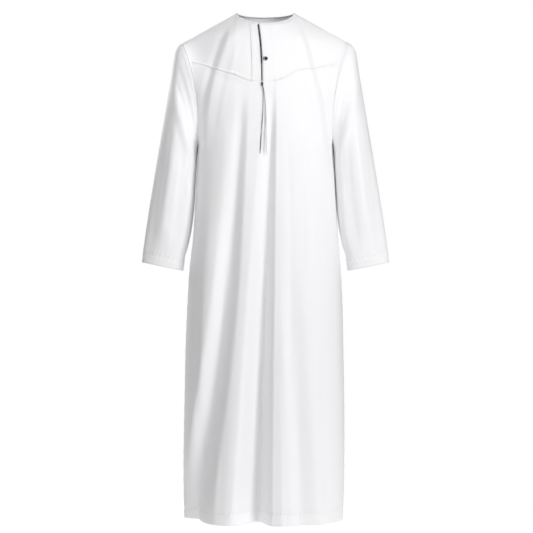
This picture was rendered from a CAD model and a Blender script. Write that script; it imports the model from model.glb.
# The looks of a white collarless robe that keeps its worn, hollow form.
import contextlib
import math

import bmesh
import bpy
import numpy as np
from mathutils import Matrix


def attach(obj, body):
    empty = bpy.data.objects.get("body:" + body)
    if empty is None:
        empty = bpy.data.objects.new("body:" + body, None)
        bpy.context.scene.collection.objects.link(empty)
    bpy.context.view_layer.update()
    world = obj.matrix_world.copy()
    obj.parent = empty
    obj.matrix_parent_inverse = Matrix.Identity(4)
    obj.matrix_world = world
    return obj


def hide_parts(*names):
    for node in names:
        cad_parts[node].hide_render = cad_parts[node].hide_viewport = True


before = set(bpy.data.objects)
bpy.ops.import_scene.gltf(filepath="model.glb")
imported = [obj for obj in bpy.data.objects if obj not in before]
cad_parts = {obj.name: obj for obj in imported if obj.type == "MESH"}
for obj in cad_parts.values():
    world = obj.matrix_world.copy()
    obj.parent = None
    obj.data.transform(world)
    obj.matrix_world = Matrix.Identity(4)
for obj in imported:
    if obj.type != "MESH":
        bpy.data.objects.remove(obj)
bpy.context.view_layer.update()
bpy.ops.object.select_all(action="DESELECT")
print("frame loaded:", len(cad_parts), "nodes")

front, back = -1, 1
fine = 4  # columns of the cloth for each column of its plain solid
spare = 1e-6  # room for rounding where spans or levels are compared
nearby = np.array([-0.004, 0.0, 0.004])  # steps of span or level that show how a surface leans

studio = {
    "pixel": 0.00283,  # metres for a pixel of the picture, at the middle of the robe
    "side": 533,
    "centre": (0.003, -0.717),  # across and height that the picture is centred on
    "distance": 4.0, "background": 1.0, "ambient": 0.21,
    "floorLow": -1.62, "floorRadius": 1.5, "floorGlow": 0.55,
    "floorColours": ((0.88, 0.88, 0.88, 1.0), (0.9, 0.9, 0.9, 1.0)),
    "lampSize": 1.2,
    # Lamps: name, place, aim, power, and the angle that the light spreads over.
    "lamps": (
        ("keyLight", (2.2, -2.4, 0.5), (0.0, 0.0, -0.75), 66.0, 180),
        ("fillLight", (-1.4, -3.2, 0.3), (-0.1, 0.0, 0.1), 2.9, 50),
        ("topLight", (-0.4, -1.8, 2.2), (-0.2, 0.0, -0.1), 3.6, 80),
        ("backLight", (-2.0, 2.4, 0.8), (0.0, 0.0, -0.7), 44.0, 180),
    ),
}


def addObject(name, data):
    item = bpy.data.objects.new(name, data)
    bpy.context.scene.collection.objects.link(item)
    return item


def newMesh(name, places, faces):
    data = bpy.data.meshes.new(name)
    data.from_pydata(places.tolist(), [], faces)
    return data


@contextlib.contextmanager
def editing():
    bpy.ops.object.mode_set(mode="EDIT")
    yield
    bpy.ops.object.mode_set(mode="OBJECT")


def makeCamera():
    lens = bpy.data.cameras.new("camera")
    lens.lens = lens.sensor_width * studio["distance"] / (studio["side"] * studio["pixel"])
    camera = addObject("camera", lens)
    camera.location = (studio["centre"][0], -studio["distance"], studio["centre"][1])
    camera.rotation_euler = (math.pi / 2, 0.0, 0.0)
    bpy.context.scene.camera = camera


makeCamera()


class Wire:
    # A socket that takes part in ordinary sums: each step adds the node that works it out.
    def __init__(self, tree, socket=None):
        self.tree, self.socket = tree, socket

    def feed(self, node, inputs):
        for key, value in inputs.items():
            if isinstance(value, Wire):
                self.tree.links.new(value.socket, node.inputs[key])
            else:
                node.inputs[key].default_value = value

    def node(self, kind, settings={}, inputs={}, output=0):
        node = self.tree.nodes.new(kind)
        for key, value in settings.items():
            setattr(node, key, value)
        self.feed(node, inputs)
        return Wire(self.tree, node.outputs[output])

    def maths(self, operation, first, second):
        return self.node("ShaderNodeMath", {"operation": operation}, {0: first, 1: second})

    def __add__(self, other):
        return self.maths("ADD", self, other)

    def __mul__(self, other):
        return self.maths("MULTIPLY", self, other)

    __radd__, __rmul__ = __add__, __mul__

    def noise(self, place, scale, detail):
        return self.node("ShaderNodeTexNoise", {}, {"Vector": place, "Scale": scale, "Detail": detail})

    def bands(self, direction, place, pitch, distortion, detailScale):
        # A wave texture whose bands lie a pitch apart.
        settings = {"wave_type": "BANDS", "bands_direction": direction}
        inputs = {"Vector": place, "Scale": 2.0 * math.pi / 20.0 / pitch, "Distortion": distortion,
                  "Detail": 1.0, "Detail Scale": detailScale}
        return self.node("ShaderNodeTexWave", settings, inputs, 1)

    def bump(self, height, strength, depth):
        return self.node("ShaderNodeBump", {}, {"Strength": strength, "Distance": depth, "Height": height})


def startFinish(name):
    finish = bpy.data.materials.new(name)
    finish.use_nodes = True
    return finish, Wire(finish.node_tree)


def setFinish(finish, **sockets):
    inputs = {key.replace("_", " "): value for key, value in sockets.items()}
    Wire(finish.node_tree).feed(finish.node_tree.nodes["Principled BSDF"], inputs)
    return finish


def mixColours(share, low, high):
    return share.node("ShaderNodeMix", {"data_type": "RGBA"}, {0: share, 6: low, 7: high}, 2)


cotton = {
    "thread": 0.0009,  # from one thread of the weave to the next
    "colour": (0.892, 0.888, 0.9, 1.0),
    "dullColour": (0.858, 0.853, 0.87, 1.0),
    "doubleColour": (0.893, 0.889, 0.902, 1.0),  # where two layers lie on each other
    "seamColour": (0.7, 0.7, 0.72, 1.0),
    "roughness": 0.55, "bump": 0.22, "bumpDepth": 0.0002,
    "slubs": ((520.0, 14.0), (12.0, 480.0)),  # how often they come across and down the cloth
    "cloud": 7.0, "sheen": 0.1,
}
lining = dict(cotton, colour=(0.82, 0.82, 0.835, 1.0), dullColour=(0.78, 0.78, 0.8, 1.0),
              doubleColour=(0.82, 0.82, 0.835, 1.0), sheen=0.04)
binding = dict(cotton, thread=0.0007, colour=(0.905, 0.904, 0.91, 1.0),
               dullColour=(0.875, 0.874, 0.884, 1.0), sheen=0.06)


def clothFinish(name, look):
    # Plain weave with slubs along both threads, on the cloth's own cut lengths in metres.
    finish, start = startFinish(name)
    cut = start.node("ShaderNodeUVMap", {"uv_map": "cut"})
    double = start.node("ShaderNodeAttribute", {"attribute_name": "layers"}, output=2)
    seam = start.node("ShaderNodeAttribute", {"attribute_name": "seams"}, output=2)

    def slubs(number):
        spread = start.node("ShaderNodeMapping", {}, {"Vector": cut, "Scale": (*look["slubs"][number], 1.0)})
        return start.noise(spread, 1.0, 2.0)

    warp, weft = (start.bands(way, cut, look["thread"], 1.4, 0.3) for way in "XY")
    weave = start.maths("MAXIMUM", warp, weft)
    uneven = slubs(0) * 0.5 + slubs(1) * 0.5
    cloud = start.noise(cut, look["cloud"], 3.0)
    tone = mixColours(uneven * 0.6 + cloud * 0.4, look["dullColour"], look["colour"])
    tone = mixColours(double, tone, look["doubleColour"])
    tone = mixColours(seam, tone, look["seamColour"])
    depth = start.bump(weave * 0.65 + uneven * 0.35, look["bump"], look["bumpDepth"])
    return setFinish(finish, Base_Color=tone, Roughness=look["roughness"] + 0.1 * uneven, Normal=depth,
                     Sheen_Weight=look["sheen"], Sheen_Roughness=0.5)


def threadFinish(name, colour, deepColour, roughness, pitch):
    # Twisted thread: slanting bands, with dye that took a little unevenly.
    finish, start = startFinish(name)
    place = start.node("ShaderNodeTexCoord", output=3)
    bands = start.bands("DIAGONAL", place, pitch, 1.5, 1.0)
    dye = start.noise(place, 240.0, 3.0)
    tone = mixColours(bands * 0.55 + dye * 0.45, deepColour, colour)
    depth = start.bump(bands, 0.5, 0.0002)
    return setFinish(finish, Base_Color=tone, Roughness=roughness + 0.12 * dye, Normal=depth,
                     Sheen_Weight=0.15)


def buttonFinish(name):
    # Dark polished shell with a faint grain and worn, duller patches.
    finish, start = startFinish(name)
    place = start.node("ShaderNodeTexCoord", output=3)
    grain, wear = start.noise(place, 900.0, 4.0), start.noise(place, 320.0, 2.0)
    tone = mixColours(grain, (0.01, 0.01, 0.013, 1.0), (0.055, 0.055, 0.062, 1.0))
    depth = start.bump(grain, 0.15, 0.0001)
    return setFinish(finish, Base_Color=tone, Roughness=0.14 + 0.16 * wear, Normal=depth, Coat_Weight=0.4,
                     Coat_Roughness=0.08)


whiteCotton = clothFinish("whiteCotton", cotton)
whiteLining = clothFinish("whiteLining", lining)
whiteBinding = clothFinish("whiteBinding", binding)
whiteThread = threadFinish("whiteThread", (0.84, 0.84, 0.85, 1.0), (0.7, 0.7, 0.72, 1.0), 0.5, 0.0008)
charcoal = threadFinish("charcoalThread", (0.06, 0.06, 0.066, 1.0), (0.016, 0.016, 0.02, 1.0), 0.55, 0.0012)
grey = threadFinish("greyThread", (0.54, 0.54, 0.555, 1.0), (0.38, 0.38, 0.395, 1.0), 0.5, 0.001)
paleGrey = threadFinish("paleGreyThread", (0.74, 0.74, 0.755, 1.0), (0.6, 0.6, 0.615, 1.0), 0.5, 0.001)
polishedButton = buttonFinish("polishedButton")
print("finishes mixed")

# The cut of the robe, in metres, with heights measured down from the shoulder points.
robe = {
    "length": 1.427, "underarm": 0.374, "cloth": 0.0008, "roundness": 2.3, "chestFlatness": 2.4,
    "chestShare": 0.6, "seamGap": 0.0002,
    # Half widths on the viewer's left and right, and depths in front and behind, at each height.
    "down": (0.374, 0.53, 0.65, 0.71, 0.81, 0.95, 1.1, 1.25, 1.427),
    "left": (0.19, 0.197, 0.205, 0.2125, 0.219, 0.225, 0.228, 0.2306, 0.23),
    "right": (0.19, 0.1985, 0.2055, 0.2105, 0.2165, 0.2195, 0.222, 0.2222, 0.219),
    "front": (0.12, 0.116, 0.116, 0.119, 0.124, 0.13, 0.134, 0.137, 0.14),
    "back": (0.112, 0.106, 0.108, 0.112, 0.117, 0.122, 0.126, 0.129, 0.13),
    "shoulderTip": 0.236, "shoulderSlope": 0.555, "armholeBow": 0.0185, "armholeDepth": 0.058,
    "armholeFade": 6.0, "hemDepth": 0.032,
    "hemRows": (0.25, 0.4, 0.55, 0.7, 0.85, 1.0),
}
skirtLength = robe["length"] - robe["underarm"]
hemLevel = 2.0 - robe["hemDepth"] / skirtLength
neck = {
    "span": 0.298,  # its share of each panel's half girth
    "half": 0.0865, "depth": 0.069, "top": 0.0035,
    "drop": {front: 0.0395, back: 0.001},
    "edgeHalf": 0.0795, "edgeDepth": 0.0625, "edgeDrop": 0.038, "softening": 0.12,
}
yoke = {
    "angle": (0, 10, 20, 30, 40, 50, 76, 102, 128, 154, 180),
    "middle": (0.0, 0.07, 0.16, 0.26, 0.375, 0.494, 0.6, 0.7, 0.8, 0.9, 1.0),
    "liningAngle": 50,
    "lineSpan": (-1.0, -0.7, -0.4, -0.2, 0.05, 0.2, 0.35, 0.5, 0.75, 1.0),
    "lineDrop": (0.008, 0.007, 0.005, 0.0, 0.0, -0.008, -0.009, 0.0, 0.008, 0.011),
    "seamStep": 0.0022, "seamRows": 10, "lineTone": 0.55,
    # Ridge, groove and ripple along the line: height, how far above it, reach.
    "lineRelief": ((0.001, 0.008, 0.006), (-0.0008, 0.0, 0.0035), (0.0006, 0.004, 0.012)),
    "lineLayer": (0.5, 0.01),  # how much the linings show through, and its fade
    "skirtCells": 13,
}
liningLevel = yoke["liningAngle"] / 180
slit = {
    "span": -0.0332, "half": 0.0017, "reach": 0.25, "placket": 0.1,
    "down": (0.04, 0.09, 0.135, 0.206),
    "across": (-0.0178, -0.012, -0.0085, -0.007),
    "straight": (0.3, 0.25),  # where its slant starts to fade, and over what depth
}


def ease(share):
    share = np.clip(share, 0.0, 1.0)
    return share * share * (3.0 - 2.0 * share)


def bell(offset, reach):
    return ease(1.0 - np.abs(offset) / (2.0 * reach))


def curve(knots, values, at):
    knots, values = np.asarray(knots, float), np.asarray(values, float)
    slopes = np.gradient(values, knots)
    at = np.clip(at, knots[0], knots[-1])
    low = np.clip(np.searchsorted(knots, at, side="right") - 1, 0, len(knots) - 2)
    gap = knots[low + 1] - knots[low]
    t = (at - knots[low]) / gap
    start = values[low] * (2 * t**3 - 3 * t**2 + 1) + slopes[low] * gap * (t**3 - 2 * t**2 + t)
    return start + values[low + 1] * (3 * t**2 - 2 * t**3) + slopes[low + 1] * gap * (t**3 - t**2)


def unit(vectors):
    return vectors / np.maximum(np.linalg.norm(vectors, axis=-1, keepdims=True), 1e-12)


def girth(name, down):
    return curve(robe["down"], robe[name], down)


def topEdge(face, span, level):
    # The cut edge at the shoulders and round the neck, whose curve softens further down the cloth.
    size = np.abs(span)
    turn = np.clip(np.sin(span * math.pi / 2) / math.sin(neck["span"] * math.pi / 2), -1.0, 1.0)
    forward = np.sqrt(1.0 - turn**2)
    forward = forward + (np.cos(span * math.pi / 2) ** 2 - forward) * ease(level / neck["softening"])
    out = np.clip((size - neck["span"]) / (1.0 - neck["span"]), 0.0, 1.0)
    reach = robe["shoulderTip"] - neck["half"]
    across = np.where(size < neck["span"], neck["half"] * turn, np.sign(span) * (neck["half"] + reach * out))
    down = neck["top"] + neck["drop"][face] * forward + reach * robe["shoulderSlope"] * out
    return across, face * neck["depth"] * forward, down


def slitShift(span, down, across):
    line = curve(slit["down"], slit["across"], down)
    plain = robe["left"][0] * math.sin(slit["span"] * math.pi / 2)
    near = 1.0 - ease(np.abs(span - slit["span"]) / slit["reach"])
    near = near * (1.0 - ease((down - slit["straight"][0]) / slit["straight"][1]))
    return across + (line - plain) * near


def bodyForm(face, span, level):
    # The plain form of a panel. Level 0 is its top edge, 1 the underarm and 2 the hem.
    above, below = np.minimum(level, 1.0), np.maximum(level - 1.0, 0.0)
    downSkirt = robe["underarm"] + below * skirtLength
    turn = np.sin(span * math.pi / 2)
    half = np.where(span < 0, girth("left", downSkirt), girth("right", downSkirt))
    bent = np.minimum(np.abs(turn), 1.0)
    full = (1.0 - bent ** robe["roundness"]) ** (1.0 / robe["roundness"])
    topAcross, topBack, topDown = topEdge(face, span, level)
    side = np.maximum(np.sin(above * math.pi), 0.0)
    flat = 1.0 - bent ** robe["chestFlatness"]
    full = full + (flat - full) * robe["chestShare"] * side**3
    lowBack = face * girth("front" if face == front else "back", downSkirt) * full
    atSide = (1.0 - np.cos(above * math.pi)) / 2.0
    atMiddle = curve(yoke["angle"], yoke["middle"], above * 180.0)
    fall = atSide + (atMiddle - atSide) * np.clip((1.0 - np.abs(span)) / 0.83, 0.0, 1.0)
    power = 0.5 + 0.3 * np.cos(span * math.pi / 2) ** 2
    swell = (1.0 - np.clip(1.0 - fall, 0.0, 1.0) ** 2.2) ** power
    bulge = side ** (1.0 + robe["armholeFade"] * (1.0 - np.abs(span)))
    across = topAcross + (half * turn - topAcross) * fall
    across = across - np.sign(span) * robe["armholeBow"] * side**2 * span**4
    deep = topBack * (1.0 - swell) + lowBack * swell + face * robe["armholeDepth"] * bulge * (1.0 - full)
    down = topDown + (robe["underarm"] - topDown) * fall + below * skirtLength
    if face == front:
        across = slitShift(span, down, across)
    return np.stack([across, deep, -down], axis=-1)


def gridNormals(points, wrapped=False):
    # Outward directions, where rows run down and columns run towards the viewer's right in front.
    if wrapped:
        points = np.concatenate([points[:, -2:-1], points, points[:, 1:2]], axis=1)
    cells = np.cross(points[1:, :-1] - points[:-1, 1:], points[1:, 1:] - points[:-1, :-1])
    normals = np.zeros_like(points)
    for row, col in ((0, 0), (0, 1), (1, 0), (1, 1)):
        normals[row : row + cells.shape[0], col : col + cells.shape[1]] += cells
    return unit(normals[:, 1:-1] if wrapped else normals)


def faceNormals(face, points):
    return gridNormals(points) if face == front else gridNormals(points[:, ::-1])[:, ::-1]


def foldHeight(folds, across, down):
    # Each fold, in millimetres: top, low; across at top, middle, low; left reach, right reach, rise.
    total = np.zeros_like(across)
    for top, low, a0, a1, a2, left0, left1, right0, right1, rise0, rise1 in np.array(folds) / 1000:
        share = (down - top) / (low - top)
        t = np.clip(share, 0.0, 1.0)
        offset = across - curve((0.0, 0.5, 1.0), (a0, a1, a2), t)
        reach = np.where(offset < 0, left0 + (left1 - left0) * t, right0 + (right1 - right0) * t)
        inside = ease(share / 0.15) * ease((1.0 - share) / 0.12)
        total += (rise0 + (rise1 - rise0) * t) * inside * bell(offset, reach)
    return total


def gridObject(name, points, layers=None, keep=None, seams=None):
    # A cloth surface from rows and columns of points, with its cut lengths as UV.
    rows, columns = points.shape[:2]
    across, down = np.zeros((rows, columns)), np.zeros((rows, columns))
    across[:, 1:] = np.cumsum(np.linalg.norm(np.diff(points, axis=1), axis=2), axis=1)
    across -= across[:, [columns // 2]]
    down[1:] = np.cumsum(np.linalg.norm(np.diff(points, axis=0), axis=2), axis=0)
    flat = np.stack([across, down], axis=-1).reshape(-1, 2)
    spot = np.arange(rows * columns).reshape(rows, columns)
    faces = np.stack([spot[:-1, :-1], spot[1:, :-1], spot[1:, 1:], spot[:-1, 1:]], axis=-1)
    faces = faces.reshape(-1, 4) if keep is None else faces[keep]
    data = newMesh(name, points.reshape(-1, 3), faces.tolist())
    corners = np.empty(len(data.loops), int)
    data.loops.foreach_get("vertex_index", corners)
    data.uv_layers.new(name="cut").data.foreach_set("uv", flat[corners].ravel())
    for mark, shares in (("layers", layers), ("seams", seams)):
        values = np.zeros(rows * columns) if shares is None else shares.reshape(-1)
        data.attributes.new(mark, "FLOAT", "POINT").data.foreach_set("value", values)
    shape = bmesh.new()
    shape.from_mesh(data)
    bmesh.ops.delete(shape, geom=[v for v in shape.verts if not v.link_faces], context="VERTS")
    bmesh.ops.remove_doubles(shape, verts=shape.verts, dist=spare)
    shape.to_mesh(data)
    shape.free()
    return addObject(name, data)


def turnOutward(data, fill=False):
    # Turns every face outward, and fills open ends first where that is asked for.
    shape = bmesh.new()
    shape.from_mesh(data)
    if fill:
        bmesh.ops.holes_fill(shape, edges=[edge for edge in shape.edges if edge.is_boundary])
    bmesh.ops.recalc_face_normals(shape, faces=shape.faces)
    shape.to_mesh(data)
    shape.free()


def giveWall(piece, cloth, shares=None):
    # The shares, where given, make the wall thinner at some of the points.
    wall = piece.modifiers.new("Wall", "SOLIDIFY")
    wall.thickness, wall.offset = cloth, -1.0
    if shares is not None:
        group = piece.vertex_groups.new(name="wall")
        for number, share in enumerate(shares.reshape(-1)):
            group.add([number], float(share), "REPLACE")
        wall.vertex_group = group.name
    bpy.context.view_layer.objects.active = piece
    bpy.ops.object.modifier_apply(modifier=wall.name)
    print(piece.name, "has", len(piece.data.polygons), "faces")


def finishPiece(piece, look, slotName, *nodes):
    piece.data.materials.clear()
    piece.data.materials.append(look)
    piece.data.shade_smooth()
    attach(piece, "root")
    if nodes:
        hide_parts(*nodes)
    return piece


# Front and back: the columns of their solids, given by start, end and number, and their folds.
frontPanel = {
    "cells": ((-1.0, -0.298, 11), (-0.298, -0.1332, 4), (-0.1332, -0.0349, 3), (-0.0349, -0.0315, 1),
              (-0.0315, 0.0668, 3), (0.0668, 0.298, 6), (0.298, 1.0, 12)),
    "folds": (
        (180, 1600, -56, -127, -254, 14, 20, 8, 42, -5, -44),
        (450, 1600, -18, -78, -116, 25, 30, 25, 30, 2, 12), (160, 1600, 23, -4, -28, 14, 40, 5, 24, -3, -80),
        (420, 1600, 48, 50, 46, 18, 14, 20, 28, 1, 8), (660, 1600, 62, 86, 112, 14, 22, 18, 26, -3, -13),
        (450, 1600, 115, 140, 150, 40, 36, 30, 24, 1, 8), (500, 1500, -146, -174, -206, 22, 14, 26, 14, 7, 6),
        (30, 420, -86, -148, -176, 12, 12, 18, 14, 4, 4), (30, 420, -106, -164, -187, 12, 8, 12, 10, -3, -3),
        (30, 460, 86, 142, 176, 18, 14, 12, 12, 4, 4), (30, 460, 106, 159, 187, 12, 10, 12, 8, -3, -3),
        # Finer creases.
        (240, 900, -90, -115, -128, 6, 10, 7, 8, -1, -2.2), (300, 1100, 60, 70, 64, 8, 8, 6, 9, -0.8, -2),
        (260, 800, 105, 118, 124, 7, 10, 7, 9, 1, 1.6), (550, 1450, -22, -40, -50, 8, 9, 8, 7, -0.6, -2.2),
        (700, 1500, 150, 162, 170, 8, 10, 8, 9, -0.8, -2.6),
        (600, 1500, -176, -188, -196, 6, 8, 6, 8, -1, -3), (950, 1550, 45, 55, 62, 6, 8, 6, 8, -0.6, -2),
        (850, 1550, -118, -130, -140, 6, 10, 6, 8, 0.8, 2.4), (70, 340, -70, -105, -130, 7, 7, 7, 7, 1.2, 1),
        (60, 300, 66, 100, 125, 7, 7, 7, 7, 1.2, 1),
    ),
}
backPanel = {
    "cells": ((-1.0, -0.298, 10), (-0.298, 0.298, 10), (0.298, 1.0, 10)),
    "folds": (
        (300, 1600, 60, 75, 105, 20, 36, 20, 34, -3, -24), (340, 1600, 10, 15, 22, 26, 36, 26, 36, 3, 12),
        (260, 1600, -40, -42, -65, 18, 34, 18, 32, -3, -30),
        (450, 1600, -90, -115, -130, 26, 30, 24, 28, 3, 12),
        (700, 1600, 140, 155, 170, 20, 22, 20, 20, -2, -10), (40, 450, 88, 138, 170, 18, 14, 14, 12, 4, 3),
        (40, 450, -88, -138, -170, 14, 12, 18, 14, 4, 3), (60, 400, 0, 6, 10, 30, 30, 30, 30, -2, -4),
        # Finer creases.
        (200, 1000, 110, 120, 130, 8, 10, 7, 9, -1, -2.2), (240, 1100, -70, -78, -86, 7, 9, 8, 10, -1, -2.2),
        (600, 1500, 40, 44, 52, 8, 9, 8, 8, -0.8, -2.4),
        (660, 1500, -150, -160, -168, 8, 9, 7, 9, -0.8, -2.4), (120, 550, 50, 42, 38, 10, 10, 10, 10, 1, 1.2),
        (120, 600, -48, -36, -30, 10, 10, 10, 10, 1, 1.2),
    ),
}
sewing = {
    "groove": 0.0007, "grooveReach": 0.0022, "pucker": 0.0018, "puckerReach": 0.011,
    "puckerLength": 0.017, "puckerLean": 0.55, "seamRidge": 0.001, "seamRidgeAt": 0.006,
    "seamPucker": 0.0005, "seamPuckerAt": 0.008, "seamPuckerLength": 0.013,
    "seamFade": (0.14, 0.08),  # folds die away towards the side seams and the shoulder seams
    "spanLength": 0.31,  # metres for a span, near the side seams
}


def puckers(along, off, reach, height, length):
    # Small slanting ripples where a row of stitches draws the cloth in.
    lean = (along + off * sewing["puckerLean"]) * math.tau / length
    uneven = 0.7 + 0.3 * np.sin(along * 11.0 + 1.0)
    return height * np.sin(lean + 1.7 * np.sin(along * 23.0)) * uneven * bell(off, reach)


def seamRelief(off, along):
    # Cloth rolls softly beside a seam, and is flat again at the seam itself.
    ridge = sewing["seamRidge"] * bell(off - sewing["seamRidgeAt"], sewing["seamRidgeAt"] / 2)
    waves = sewing["seamPucker"] * np.sin(along * math.tau / sewing["seamPuckerLength"])
    return ridge + waves * bell(off - sewing["seamPuckerAt"], sewing["seamPuckerAt"] / 2)


def fineColumns(cells):
    values = [cells[0][0]]
    for start, end, count in cells:
        count = count * fine if count > 1 else 1
        values += [start + (end - start) * (i + 1) / count for i in range(count)]
    return np.array(values)


def fineLevels():
    coarse = [angle / 180.0 for angle in yoke["angle"]]
    coarse += [1.0 + (hemLevel - 1.0) * (i + 1) / yoke["skirtCells"] for i in range(yoke["skirtCells"])]
    values = [0.0]
    for low, high in zip(coarse, coarse[1:]):
        values += [low + (high - low) * (i + 1) / (fine * 2) for i in range(fine * 2)]
    # The linings' line and the hem's stitches get close rows of their own.
    rows, clear = yoke["seamRows"], yoke["seamStep"] / 2
    seam = [liningLevel + step * yoke["seamStep"] for step in range(-rows, rows + 1)]
    values = [value for value in values[:-1] if not seam[0] - clear < value < seam[-1] + clear] + seam
    values += [hemLevel + step * sewing["grooveReach"] / skirtLength for step in (-2, -1, 0, 1, 2)]
    values += [hemLevel + (2.0 - hemLevel) * share for share in robe["hemRows"]]
    return np.array(sorted(values))


def liningLine(span):
    # The level at which the linings are stitched to the front, a little off their row.
    drop = curve(yoke["lineSpan"], yoke["lineDrop"], span)
    return liningLevel + drop / (0.717 - 0.367 * np.abs(span))


def linedPart(span):
    # Nought at the armholes and beside the slit, where no lining is stitched on.
    return ease((0.97 - np.abs(span)) / 0.05) * ease((np.abs(span - slit["span"]) - 0.085) / 0.02)


def liningSeam(span, level):
    return bell(level - liningLine(span), 0.0024) * linedPart(span)


def liningRelief(span, level):
    # The linings' turned edge presses through, with the stitched line at its foot.
    off = level - liningLine(span)
    ridge, groove, ripple = (height * bell(off + above, reach) for height, above, reach in yoke["lineRelief"])
    return (ridge + groove + ripple * np.sin(span * 150.0 + 2.0 * np.sin(span * 31.0))) * linedPart(span)


def panelPoints(face, columns, levels):
    return panelSurface(face, *np.meshgrid(columns, levels))


def panelSurface(face, span, level):
    settings = frontPanel if face == front else backPanel
    plain = bodyForm(face, span, level)
    out = faceNormals(face, plain)
    across, down = plain[..., 0], -plain[..., 2]
    rise = foldHeight(settings["folds"], across, down)
    sideFade, topFade = sewing["seamFade"]
    rise = rise * ease((1.0 - np.abs(span)) / sideFade) * ease(level / topFade)
    off = down - (robe["length"] - robe["hemDepth"])
    along = across * math.pi / 2
    rise += puckers(along, off, sewing["puckerReach"], sewing["pucker"], sewing["puckerLength"])
    rise -= sewing["groove"] * bell(off, sewing["grooveReach"])
    rise += seamRelief((1.0 - np.abs(span)) * sewing["spanLength"], down)
    if face == front:
        rise += liningRelief(span, level)
    points = plain + out * rise[..., None]
    points[..., 1] += face * robe["seamGap"]
    return points


def makePanel(face, name, node):
    settings = frontPanel if face == front else backPanel
    columns, levels = fineColumns(settings["cells"]), fineLevels()
    points = panelPoints(face, columns, levels)
    span, level = np.meshgrid(columns, levels)
    layers = (level > hemLevel).astype(float)
    if face == back:
        piece = gridObject(name, points[:, ::-1], layers[:, ::-1])
    else:
        # The slit is left open, and the linings behind the cloth make it look denser.
        gap = int(np.searchsorted(columns, slit["span"])) - 1
        keep = np.ones((len(levels) - 1, len(columns) - 1), bool)
        keep[levels[1:] <= liningLevel + spare, gap] = False
        shade, fade = yoke["lineLayer"]
        layers = np.maximum(layers, shade * ease((liningLine(span) - level) / fade))
        piece = gridObject(name, points, layers, keep, yoke["lineTone"] * liningSeam(span, level))
    giveWall(piece, robe["cloth"])
    finishPiece(piece, whiteCotton, "white_cotton", node)
    return piece, {"columns": columns, "levels": levels, "points": points, "out": faceNormals(face, points)}


frontCloth, frontGrid = makePanel(front, "frontCloth", "front_panel")
backCloth, backGrid = makePanel(back, "backCloth", "back_panel")

# Rings of a sleeve from armhole to cuff, in millimetres: its outer and inner edges, and its half depth.
sleeve = {
    "along": (0.0, 0.025, 0.05, 0.085, 0.145, 0.25, 0.36, 0.5, 0.65, 0.8, 0.93, 0.934, 1.0),
    "outerX": (236, 246.5, 254, 258.8, 264.6, 275.9, 287.2, 302, 317.5, 332.5, 346.5, 346.7, 350),
    "outerDown": (86.5, 94.5, 106.5, 127, 167, 235, 303, 390, 484, 577, 678, 680, 705),
    "innerX": (190, 191.6, 192.4, 193.2, 194.3, 196.2, 198.4, 201.6, 207.8, 218, 229, 229.1, 232.5),
    "innerDown": (374, 381, 390, 402, 425, 463, 503, 553, 606, 658, 702, 704, 729),
    "depth": (58, 59, 60, 61, 62, 62, 60, 56, 50, 43, 37, 37, 34),
    "stitched": 0.931, "length": 0.5, "gap": 0.0002,
    # Rows along it, which lie close at the armhole and at the cuff's stitches.
    "capRows": (0.0, 0.004, 0.008, 0.012, 0.016, 0.02, 0.025, 0.032, 0.04),
    "armRows": (0.05, -0.012, 28),  # start, end before the stitches, number
    "sewnRows": (-0.009, -0.0045, 0.0, 0.0045, 0.009),
    "cuffRows": (0.95, 1.0, 6),
    "girdle": (0.06, 0.002),  # the cuff's half width, and how much it differs between the sides
    "pucker": (0.009, 0.0008, 0.012),  # reach, height and length
    "groove": (0.0007, 0.0018),
    # Folds: angle round from the outer edge at top and low, top, low, reach in degrees, rise.
    "folds": (
        (70, 84, 0.18, 0.92, 20, 0.0045), (104, 112, 0.22, 0.88, 18, -0.005),
        (140, 132, 0.3, 1.02, 20, 0.003), (40, 50, 0.4, 1.02, 18, -0.0035), (262, 250, 0.2, 0.95, 24, 0.0045),
        (300, 292, 0.25, 0.9, 20, -0.0045),
        # Finer creases.
        (58, 64, 0.24, 0.8, 6, -0.0012), (92, 100, 0.3, 0.96, 6, 0.0013), (122, 120, 0.16, 0.6, 6, -0.0012),
        (150, 146, 0.42, 0.98, 6, -0.0014), (28, 34, 0.2, 0.7, 7, 0.001), (236, 232, 0.22, 0.9, 7, -0.0012),
        (280, 276, 0.34, 0.98, 6, 0.0012), (318, 312, 0.2, 0.7, 7, -0.001),
    ),
    # Folds round the cap: place, rise, reach.
    "capFolds": ((0.1, -0.005, 0.055), (0.18, 0.005, 0.055), (0.055, 0.0012, 0.012), (0.135, -0.0014, 0.014)),
}


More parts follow.
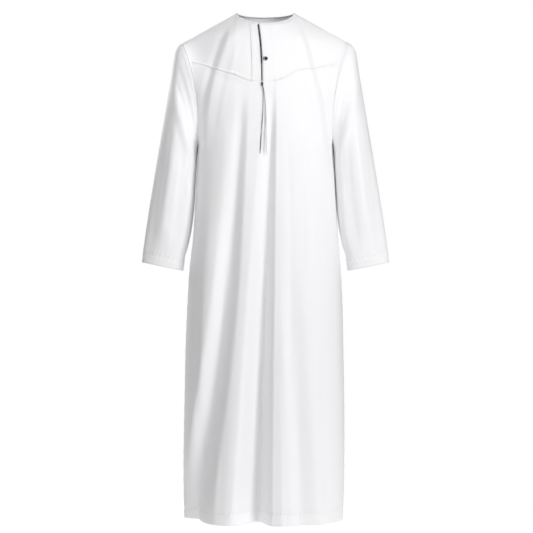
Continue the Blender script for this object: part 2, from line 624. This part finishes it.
def sleevePoints(side, angles, along):
    angle, place = np.meshgrid(angles, along)
    turn = np.radians(angle)

    def read(name):
        return curve(sleeve["along"], np.array(sleeve[name]) / 1000, place)

    outer = np.stack([read("outerX"), -read("outerDown")], axis=-1)
    inner = np.stack([read("innerX"), -read("innerDown")], axis=-1)
    arm = (outer - inner) / 2
    cosine = np.cos(turn)[..., None]
    flat = (outer + inner) / 2 + arm * cosine
    bow = robe["armholeBow"] * np.sin(turn) ** 2 * (1.0 - ease(place / 0.22))
    rise = np.zeros_like(place)
    wrapped = angle % 360
    for top, low, start, end, reach, height in sleeve["folds"]:
        share = (place - start) / (end - start)
        middle = top + (low - top) * np.clip(share, 0.0, 1.0)
        rise += height * bell(wrapped - middle, reach) * ease(share / 0.25) * ease((1.0 - share) / 0.2)
    inFront = ease((wrapped - 25.0) / 40.0) * ease((178.0 - wrapped) / 30.0)
    for middle, height, reach in sleeve["capFolds"]:
        rise += height * bell(place - middle, reach) * inFront * ease(place / 0.06)
    girdle = turn * (sleeve["girdle"][0] + side * sleeve["girdle"][1])
    off = (place - sleeve["stitched"]) * 0.4
    rise += puckers(girdle, off, *sleeve["pucker"]) - sleeve["groove"][0] * bell(off, sleeve["groove"][1])
    rise += seamRelief(place * sleeve["length"], girdle)
    direction = unit(arm) * cosine
    across = flat[..., 0] - bow + direction[..., 0] * rise
    up = flat[..., 1] + direction[..., 1] * rise
    deep = -(read("depth") + rise) * np.sin(turn)
    return np.stack([side * across, deep, up], axis=-1)


def makeSleeve(side, name, node):
    angles = np.arange(-180.0, 180.1, 3.0)
    start, end, rows = sleeve["armRows"]
    middle = np.linspace(start, sleeve["stitched"] + end, rows * fine)
    stitched = sleeve["stitched"] + np.array(sleeve["sewnRows"])
    along = np.concatenate([sleeve["capRows"], middle, stitched, np.linspace(*sleeve["cuffRows"])])
    points = sleevePoints(side, angles, along)
    points[0, :, 0] += side * sleeve["gap"]
    layers = np.repeat((along > sleeve["stitched"]).astype(float)[:, None], len(angles), axis=1)
    shown = points if side < 0 else points[:, ::-1]
    piece = gridObject(name, shown, layers)
    giveWall(piece, robe["cloth"])
    finishPiece(piece, whiteCotton, "white_cotton", node)
    return piece, {"along": along, "points": shown, "out": gridNormals(shown, wrapped=True)}


sleeveLeft, sleeveLeftGrid = makeSleeve(1, "sleeveLeftCloth", "sleeve_left")
sleeveRight, sleeveRightGrid = makeSleeve(-1, "sleeveRightCloth", "sleeve_right")

strips = {
    "gap": 0.0003, "cloth": 0.001, "wall": 0.0008, "panel": 0.0012, "placketTop": 0.8 / 180,
    "thinEdge": 0.1, "taper": 0.034, "footTaper": 0.02, "layer": 0.6,
    # The linings start one column of the front's solid in from the armholes.
    "liningEnds": (-1.0 + 0.702 / 11, 1.0 - 0.702 / 12),
}


def makeLayer(name, node, look, slotName, start, end, off, outer=None):
    # A strip of cloth over or under the front, from the front's own points moved out. Its outer
    # side, where given, and its foot are pressed thin.
    columns = frontGrid["columns"]
    columns = columns[(columns > start - spare) & (columns < end + spare)]
    levels = frontGrid["levels"]
    levels = levels[levels < liningLevel + spare].copy()
    if off > 0:
        levels[0] = strips["placketTop"]
    points = panelPoints(front, columns, levels)
    raised, wall, shares = np.full(points.shape[:2], off), strips["wall"], None
    if outer is not None:
        span, level = np.meshgrid(columns, levels)
        foot = ease((liningLevel - level) / strips["footTaper"])
        shares = ease(np.abs(span - outer) / strips["taper"]) * foot
        shares = strips["thinEdge"] + (1.0 - strips["thinEdge"]) * shares
        wall = off - strips["gap"]
        raised = strips["gap"] + wall * shares
    layers = np.full(points.shape[:2], strips["layer"])
    piece = gridObject(name, points + faceNormals(front, points) * raised[..., None], layers)
    giveWall(piece, wall, shares)
    return finishPiece(piece, look, slotName, node)


slitRight, slitLeft = slit["span"] - slit["half"], slit["span"] + slit["half"]
edgeRight, edgeLeft = slit["span"] - slit["placket"], slit["span"] + slit["placket"]
stripOut = strips["gap"] + strips["cloth"]
liningIn = -(strips["panel"] + strips["gap"])
placketLook, liningLook = (whiteBinding, "white_cotton"), (whiteLining, "white_lining")
placketRight, placketLeft, liningRight, liningLeft = (makeLayer(*settings) for settings in (
    ("placketRightStrip", "placket_right", *placketLook, edgeRight, slitRight, stripOut, edgeRight),
    ("placketLeftStrip", "placket_left", *placketLook, slitLeft, edgeLeft, stripOut, edgeLeft),
    ("yokeLiningRight", "yoke_lining_right", *liningLook, strips["liningEnds"][0], slitRight, liningIn),
    ("yokeLiningLeft", "yoke_lining_left", *liningLook, slitLeft, strips["liningEnds"][1], liningIn),
))
print("plackets and linings laid on")

neckBinding = {
    "gap": 0.0005, "corner": 0.0002,
    "sewnAt": (0.14, 0.0009),
    # Round its section: share of its height, and how far it stands out from the cloth's face.
    "section": ((0.0, 0.0003), (0.08, 0.0008), (0.25, 0.0009), (0.5, 0.0008), (0.75, 0.0009), (0.93, 0.0007),
                (1.0, 0.0002), (1.03, -0.0007), (1.0, -0.0016), (0.93, -0.002), (0.75, -0.0022),
                (0.4, -0.002), (0.1, -0.0016), (0.0, -0.0012), (-0.02, -0.0004)),
}


def makeBinding():
    columns = frontGrid["columns"]
    inFront = np.flatnonzero(np.abs(columns) <= neck["span"] + spare)
    behind = np.flatnonzero(np.abs(backGrid["columns"]) < neck["span"] - spare)
    order = [(frontGrid, i) for i in inFront if columns[i] > slit["span"]]
    order += [(backGrid, i) for i in behind[::-1]]
    order += [(frontGrid, i) for i in inFront if columns[i] < slit["span"]]
    low = np.array([grid["points"][0, i] for grid, i in order])
    out = np.array([grid["out"][0, i] for grid, i in order])
    low[np.abs(np.abs(low[:, 0]) - neck["half"]) < neckBinding["corner"], 1] = 0.0
    turn = np.clip(low[:, 0] / neck["half"], -1.0, 1.0)
    away = np.sqrt(1.0 - turn**2) * np.where(low[:, 1] > 0, 1.0, -1.0)
    drop = neck["edgeDrop"] * np.maximum(0.0, -away)
    top = np.stack([neck["edgeHalf"] * turn, neck["edgeDepth"] * away, -drop], axis=1)
    towards = unit(top - low)
    start = low + towards * neckBinding["gap"]
    side = unit(out - towards * np.sum(out * towards, axis=1, keepdims=True))
    section = neckBinding["section"] + neckBinding["section"][:1]
    points = np.stack([start + (top - start) * share + side * rise for share, rise in section], axis=1)
    piece = gridObject("neckBindingStrip", points[:, ::-1])
    turnOutward(piece.data, fill=True)
    finishPiece(piece, whiteBinding, "white_binding", "neck_binding")
    share, rise = neckBinding["sewnAt"]
    return piece, start + (top - start) * share + side * rise, side


neckStrip, neckSewnLine, neckSewnOut = makeBinding()
print("neck bound")

stitching = {
    "radius": 0.00024, "length": 0.0024, "pitch": 0.0034, "sink": 0.00008, "ahead": 0.0005,
    "yokeEnds": (-0.93, 0.94), "placketEnds": (0.012, 0.002), "placketIn": 0.01,
}


def modelStitch():
    # One stitch: a short thread that dips at both ends, lying along X with Z up.
    bpy.ops.mesh.primitive_uv_sphere_add(segments=6, ring_count=4, rotation=(0, math.pi / 2, 0))
    stitch = bpy.context.object
    bpy.ops.object.transform_apply()
    with editing():
        bpy.ops.mesh.select_all(action="SELECT")
        bpy.ops.transform.resize(value=(stitching["length"] / 2, stitching["radius"], stitching["radius"]))
    places = np.array([v.co[:] for v in stitch.data.vertices])
    faces = [tuple(p.vertices) for p in stitch.data.polygons]
    bpy.data.objects.remove(stitch, do_unlink=True)
    return places, faces


stitchPlaces, stitchFaces = modelStitch()


def pathLength(path):
    return np.concatenate([[0.0], np.cumsum(np.linalg.norm(np.diff(path, axis=0), axis=1))])


def readAlong(marks, length, values):
    return np.stack([np.interp(marks, length, values[:, k]) for k in range(3)], axis=1)


def sewRow(name, lines, slotName="white_cotton"):
    # Copies the stitch along each line, which is a path with its outward directions.
    places, faces = [], []
    for path, out in lines:
        length = pathLength(path)
        marks = np.arange(stitching["pitch"] / 2, length[-1], stitching["pitch"])
        centre, up = readAlong(marks, length, path), readAlong(marks, length, out)
        along = unit(readAlong(marks + stitching["ahead"], length, path) - centre + 1e-9)
        cross = unit(np.cross(up, along))
        for c, a, s, u in zip(centre, along, cross, unit(up)):
            base = len(places) * len(stitchPlaces)
            places.append(c + u * stitching["sink"] + stitchPlaces @ np.stack([a, s, u]))
            faces += [tuple(v + base for v in face) for face in stitchFaces]
    finishPiece(addObject(name, newMesh(name, np.concatenate(places), faces)), whiteThread, slotName)


def rowAt(grid, key, value):
    row = int(np.argmin(np.abs(grid[key] - value)))
    return grid["points"][row], grid["out"][row]


def sewnLine(columns):
    # The stitched line of the linings on the front's face.
    level = liningLine(columns) + nearby[:, None]
    points = panelSurface(front, np.tile(columns, (3, 1)), level)
    return points[1], faceNormals(front, points)[1]


def sewRobe():
    sewRow("hemStitches", [rowAt(grid, "levels", hemLevel) for grid in (frontGrid, backGrid)])
    cuffs = (sleeveLeftGrid, sleeveRightGrid)
    sewRow("cuffStitches", [rowAt(grid, "along", sleeve["stitched"]) for grid in cuffs])
    columns, levels = frontGrid["columns"], frontGrid["levels"]
    rightPart = columns[(columns > stitching["yokeEnds"][0]) & (columns < edgeRight + spare)]
    leftPart = columns[(columns > edgeLeft - spare) & (columns < stitching["yokeEnds"][1])]
    sewRow("yokeStitches", [sewnLine(rightPart), sewnLine(leftPart)])
    sewRow("neckStitches", [(neckSewnLine, neckSewnOut)], "white_binding")
    top, foot = stitching["placketEnds"]
    rows = np.flatnonzero((levels > top) & (levels < liningLevel - foot))
    thin = ease(stitching["placketIn"] / strips["taper"]) * (1.0 - strips["thinEdge"]) + strips["thinEdge"]
    lines = []
    for edge in (edgeRight + stitching["placketIn"], edgeLeft - stitching["placketIn"]):
        column = int(np.argmin(np.abs(columns - edge)))
        out = frontGrid["out"][rows, column]
        face = frontGrid["points"][rows, column] + out * (strips["gap"] + strips["cloth"] * thin)
        lines.append((face, out))
    sewRow("placketStitches", lines)


sewRobe()
print("stitched")


def tubeMesh(name, tubes, sides, look, slotName, *nodes):
    # Joins swept threads, each a path with its radius or radii, closed at both ends.
    turns = np.arange(sides) * math.tau / sides
    places, faces, base = [], [], 0
    for path, radii in tubes:
        ahead = unit(np.gradient(path, axis=0))
        across = unit(np.cross(ahead, np.array([0.0, -1.0, 0.0])))
        out = np.cross(across, ahead)
        ring = across[:, None] * np.cos(turns)[None, :, None] + out[:, None] * np.sin(turns)[None, :, None]
        count = len(path)
        places.append((path[:, None] + ring * np.broadcast_to(radii, count)[:, None, None]).reshape(-1, 3))
        for row in range(count - 1):
            for i in range(sides):
                a, b = base + row * sides + i, base + row * sides + (i + 1) % sides
                faces.append((a, b, b + sides, a + sides))
        faces.append(tuple(base + i for i in reversed(range(sides))))
        faces.append(tuple(base + (count - 1) * sides + i for i in range(sides)))
        base += count * sides
    data = newMesh(name, np.concatenate(places), faces)
    turnOutward(data)
    finishPiece(addObject(name, data), look, slotName, *nodes)


braid = {"strands": 3, "swing": 0.0014, "lift": 0.0005, "radius": 0.00088, "pitch": 0.0072, "half": 0.00225,
         "out": 0.0024, "steps": 10, "top": 0.004, "thinFrom": 0.15, "thinOver": 0.012, "thin": 0.68}


def makeBraid():
    # Three strands plaited along the slit's edge on the wearer's right.
    levels = frontGrid["levels"]
    rows = np.flatnonzero((levels > braid["top"]) & (levels < liningLevel + spare))
    edge = int(np.argmin(np.abs(frontGrid["columns"] - slitRight)))
    line = frontGrid["points"][rows, edge]
    side = unit(frontGrid["points"][rows, edge - 1] - line)
    out = frontGrid["out"][rows, edge]
    line = line + side * braid["half"] + out * braid["out"]
    length = pathLength(line)
    marks = np.linspace(0.0, length[-1], int(length[-1] / braid["pitch"] * braid["steps"]))
    base, wide, high = (readAlong(marks, length, values) for values in (line, side, out))
    size = 1.0 - (1.0 - braid["thin"]) * ease((-base[:, 2] - braid["thinFrom"]) / braid["thinOver"])
    tubes = []
    for i in range(braid["strands"]):
        turn = marks / braid["pitch"] * math.tau + i * math.tau / braid["strands"]
        path = base + unit(wide) * (braid["swing"] * size * np.sin(turn))[:, None]
        path = path + unit(high) * (braid["lift"] * size * np.sin(2 * turn))[:, None]
        tubes.append((path, braid["radius"] * size))
    tubeMesh("slitBraidPlait", tubes, 8, charcoal, "charcoal_braid", "slit_braid")


makeBraid()


def frontAt(across, down):
    # The place on the front's face at a distance across and down, and its outward direction.
    levels = np.linspace(0.0, 1.3, 300)
    halfWidth, spanWidth = 0.2, 0.3  # about right, and put right in a few tries
    span = math.asin(across / halfWidth) * 2 / math.pi
    for _ in range(5):
        track = bodyForm(front, np.full_like(levels, span), levels)
        level = float(np.interp(down, -track[:, 2], levels))
        span += (across - float(np.interp(down, -track[:, 2], track[:, 0]))) / spanWidth
    patch = panelPoints(front, span + nearby, level + nearby)
    return patch[1, 1], faceNormals(front, patch)[1, 1]


button = {"down": 0.144, "across": 0.0012, "radius": 0.0037, "height": 0.0024, "seat": 0.0018,
          "bevel": 0.00056, "rim": 0.0008, "slope": 0.0004, "dish": 0.0004}
loop = {
    "radius": 0.0008, "clear": 0.0011, "foot": 0.0058,
    "narrow": (0.86, 0.95),  # how it narrows at the foot and half way there
    "coilWide": 0.0011, "coilDeep": (0.0006, 0.0009), "coilRadius": 0.0007,
}


def makeButton():
    place, out = frontAt(button["across"], button["down"])
    seat = place + out * button["seat"]
    middle = seat + out * button["height"] / 2
    tilt = math.atan2(-out[1], out[2])
    bpy.ops.mesh.primitive_cylinder_add(vertices=32, radius=button["radius"], depth=button["height"],
                                        location=middle, rotation=(tilt, 0.0, 0.0))
    piece = bpy.context.object
    piece.name = "slitButtonDisc"
    shape = piece.data
    for face in shape.polygons:
        face.select = face.normal.z > 0.9
    with editing():
        bpy.ops.mesh.select_mode(type="FACE")
        bpy.ops.mesh.bevel(offset=button["bevel"], segments=3)
    for face in shape.polygons:
        face.select = face.normal.z > 0.999
    with editing():
        bpy.ops.mesh.inset(thickness=button["rim"])
        bpy.ops.mesh.inset(thickness=button["slope"], depth=-button["dish"])
    bpy.ops.object.transform_apply()
    finishPiece(piece, polishedButton, "charcoal_button", "slit_button")
    bpy.ops.object.shade_smooth_by_angle(angle=math.radians(40))
    right = unit(np.array([1.0, 0.0, 0.0]) - out * out[0])
    up = np.cross(right, out)
    up = up if up[2] > 0 else -up
    makeLoop(seat, out, right, up)


def makeLoop(seat, out, right, up):
    # A thread round the button, open towards the slit, and bound where its ends lie side by side.
    reach, foot = button["radius"] + loop["clear"], -loop["foot"]
    ends, waist = loop["narrow"]
    spots = [(foot, -reach * ends), (foot / 2, -reach * waist)]
    spots += [(reach * math.cos(t), reach * math.sin(t)) for t in np.radians(np.linspace(-90, 90, 21))]
    spots += [(foot / 2, reach * waist), (foot, reach * ends)]
    path = np.array([seat + right * x + up * z + out * loop["radius"] for x, z in spots])
    tubeMesh("buttonLoopThread", [(path, loop["radius"])], 8, charcoal, "charcoal_thread", "button_loop")
    share = np.linspace(0.0, 1.0, 60)[:, None]
    turn = share * 8 * math.pi
    low, deep = loop["coilDeep"]
    coil = seat + right * (foot + loop["coilWide"] * np.cos(turn)) + out * (low + deep * np.sin(turn))
    coil = coil + up * reach * (1.8 * share - 0.9)
    tubeMesh("loopBinding", [(coil, loop["coilRadius"])], 6, charcoal, "charcoal_thread")


makeButton()

tassel = {
    "down": 0.2095, "across": -0.0092, "length": 0.204, "seat": 0.0006,
    "headRadius": 0.003, "headLength": 0.01, "core": 0.00246, "bevel": 0.00084,
    "wraps": 11, "wrapAt": 0.00258, "wrapRadius": 0.00042,
    "threads": 4, "threadRadius": 0.00026, "taper": 0.5, "steps": 26, "parting": 1.1,
    "clear": (0.001, 0.0022),  # how far the locks behind and in front lie off the cloth
    "spread": (0.0002, 0.0006), "wander": 0.0007, "uneven": 0.02,
    # Locks: where each ends across the front, its sway, its share of the length, its threads'
    # thickness and its finish.
    "locks": ((0.0034, 0.006, 0.99, 0.8, "pale"), (0.0012, 0.0065, 0.96, 0.8, "pale"),
              (-0.0054, 0.0085, 1.0, 0.9, "grey"), (-0.0066, 0.0078, 0.95, 0.9, "grey"),
              (-0.0158, 0.0034, 0.98, 1.5, "dark"), (-0.0154, 0.003, 0.93, 1.5, "dark")),
}


def makeTassel():
    place, out = frontAt(tassel["across"], tassel["down"])
    length, radius = tassel["headLength"], tassel["headRadius"]
    centre = place + out * (radius + tassel["seat"])
    lean = frontAt(tassel["across"], tassel["down"] + length)[0][1] - place[1]
    bpy.ops.mesh.primitive_cylinder_add(vertices=24, radius=tassel["core"], depth=length,
                                        location=centre + np.array([0.0, lean / 2, -length / 2]),
                                        rotation=(-math.atan2(lean, length), 0.0, 0.0))
    head = bpy.context.object
    head.name = "tasselHead"
    with editing():
        bpy.ops.mesh.select_all(action="SELECT")
        bpy.ops.mesh.bevel(offset=tassel["bevel"], segments=3)
    bpy.ops.object.transform_apply()
    finishPiece(head, charcoal, "grey_tassel", "tassel")
    share = np.linspace(0.06, 0.94, 20 * tassel["wraps"])
    turn = share * tassel["wraps"] * math.tau
    around = tassel["wrapAt"] * np.stack([np.cos(turn), np.sin(turn), np.zeros_like(turn)], axis=1)
    wrap = centre + around + share[:, None] * np.array([0.0, lean, -length])
    tubeMesh("tasselWrap", [(wrap, tassel["wrapRadius"])], 6, charcoal, "charcoal_thread")
    makeLocks(centre + np.array([0.0, lean, -length * 0.9]))


def lockCore(root, behind, end, sway, reach):
    # The middle of a lock: from its root at the head, down over the front's face.
    length, core = tassel["headLength"], []
    for share in np.linspace(0.0, 1.0, tassel["steps"]):
        down = tassel["down"] + length * 0.9 + (tassel["length"] - length) * reach * share
        across = root[0] + (end - root[0]) * share ** tassel["parting"]
        spot, way = frontAt(across + sway * math.sin(math.sqrt(share) * math.pi), down)
        middle = spot + way * tassel["clear"][0 if behind else 1]
        middle[1] = root[1] + (middle[1] - root[1]) * float(ease(share * 3.0))
        core.append(middle)
    return np.array(core)


def makeLocks(bottom):
    looks = {"pale": (paleGrey, []), "grey": (grey, []), "dark": (charcoal, [])}
    shares = np.linspace(0.0, 1.0, tassel["steps"])
    close, loose = tassel["spread"]
    spread = close + loose * shares**1.5
    for number, (end, sway, reach, thickness, tone) in enumerate(tassel["locks"]):
        angle = math.tau * (number + 1) / len(tassel["locks"])
        root = bottom + np.array([math.cos(angle), math.sin(angle), 0.0]) * tassel["headRadius"] * 0.5
        core = lockCore(root, root[1] > bottom[1], end, sway, reach)
        for i in range(tassel["threads"]):
            turn = math.tau * i / tassel["threads"] + number
            wander = np.sin(shares * (5.0 + i) + number * 2.0 + i) * tassel["wander"] * shares
            path = core.copy()
            path[:, 0] += math.cos(turn) * spread + wander
            path[:, 1] -= (0.5 + 0.5 * math.sin(turn)) * spread
            trim = 1.0 - tassel["uneven"] * ((i * 5 + number * 3) % 7) / 7.0
            path[:, 2] = root[2] + (path[:, 2] - root[2]) * trim
            radii = tassel["threadRadius"] * thickness * (1.0 - tassel["taper"] * shares)
            looks[tone][1].append((path, radii))
    for tone, (look, tubes) in looks.items():
        tubeMesh("tassel" + tone.title() + "Threads", tubes, 5, look, "grey_tassel")


makeTassel()
print("braid, button and tassel sewn on")


def makeStage():
    bpy.ops.mesh.primitive_circle_add(vertices=96, radius=studio["floorRadius"], fill_type="NGON",
                                      location=(0.0, 0.0, studio["floorLow"]))
    floor = bpy.context.object
    floor.name = "floor"
    finish, start = startFinish("paleFloor")
    place = start.node("ShaderNodeTexCoord", output=3)
    tone = mixColours(start.noise(place, 2.0, 2.0), *studio["floorColours"])
    setFinish(finish, Base_Color=tone, Roughness=0.9, Emission_Color=(1.0, 1.0, 1.0, 1.0),
              Emission_Strength=studio["floorGlow"])
    floor.data.materials.append(finish)
    world = bpy.data.worlds.new("studioWorld")
    world.use_nodes = True
    start = Wire(world.node_tree)
    seen = start.node("ShaderNodeLightPath")
    strength = studio["ambient"] + seen * (studio["background"] - studio["ambient"])
    sky = start.node("ShaderNodeBackground", {}, {"Color": (1.0, 1.0, 1.0, 1.0), "Strength": strength})
    world.node_tree.links.new(sky.socket, world.node_tree.nodes["World Output"].inputs["Surface"])
    bpy.context.scene.world = world
    bpy.context.scene.view_settings.view_transform = "Standard"


def addLight(name, place, aim, power, spread):
    lamp = bpy.data.lights.new(name, "AREA")
    lamp.shape, lamp.size, lamp.energy, lamp.spread = "DISK", studio["lampSize"], power, math.radians(spread)
    light = addObject(name, lamp)
    light.location = place
    way = np.array(aim) - np.array(place)
    light.rotation_euler = (math.atan2(math.hypot(way[0], way[1]), -way[2]), 0.0, math.atan2(-way[0], way[1]))


makeStage()
for lampSettings in studio["lamps"]:
    addLight(*lampSettings)
print("stage lit")
